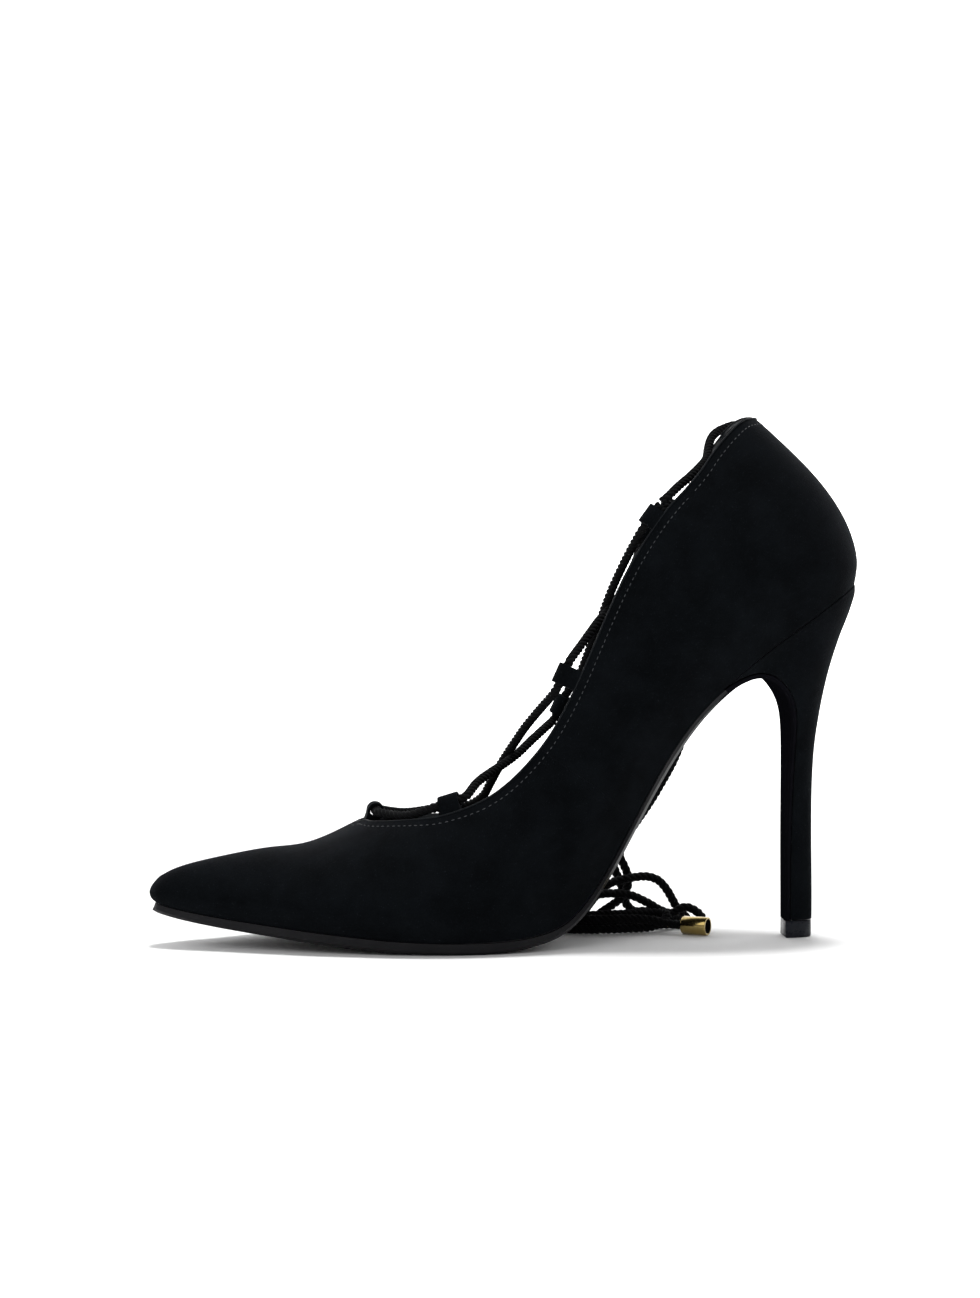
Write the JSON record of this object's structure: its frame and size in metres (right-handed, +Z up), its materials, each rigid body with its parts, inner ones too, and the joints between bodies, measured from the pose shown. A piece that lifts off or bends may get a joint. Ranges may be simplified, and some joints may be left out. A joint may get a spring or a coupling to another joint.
{
  "type": "lace up heel",
  "caption": "Right pointed-toe suede pump with a stiletto heel, a deep throat and a twisted lace through loops on the topline, its free ends lying beside the waist.",
  "frame": {"origin": "middle of the shoe's box in plan, on the floor it stands on", "axes": "+X from the toe to the heel, +Y to the outer side of the foot, +Z up"},
  "size_m": [0.2209, 0.0895, 0.1624],
  "materials": {
    "suede": "black suede with a fine nap",
    "lining": "smooth black lining leather",
    "outsole": "gloss black",
    "top_piece": "dark blue grey, satin gloss",
    "lace": "black twisted cord",
    "aglet": "polished gold colour"
  },
  "bodies": {
    "root": {"upper": "suede", "insole": "lining", "outsole": "outsole", "heel": "suede", "top_piece": "top_piece", "loop_inner_1": "suede", "loop_inner_2": "suede", "loop_inner_3": "suede", "loop_outer_1": "suede", "loop_outer_2": "suede", "loop_outer_3": "suede", "loop_front": "suede", "lace": "lace", "lace_end_inner": "lace", "lace_end_outer": "lace", "aglet_inner": "aglet", "aglet_outer": "aglet"}
  },
  "joints": []
}
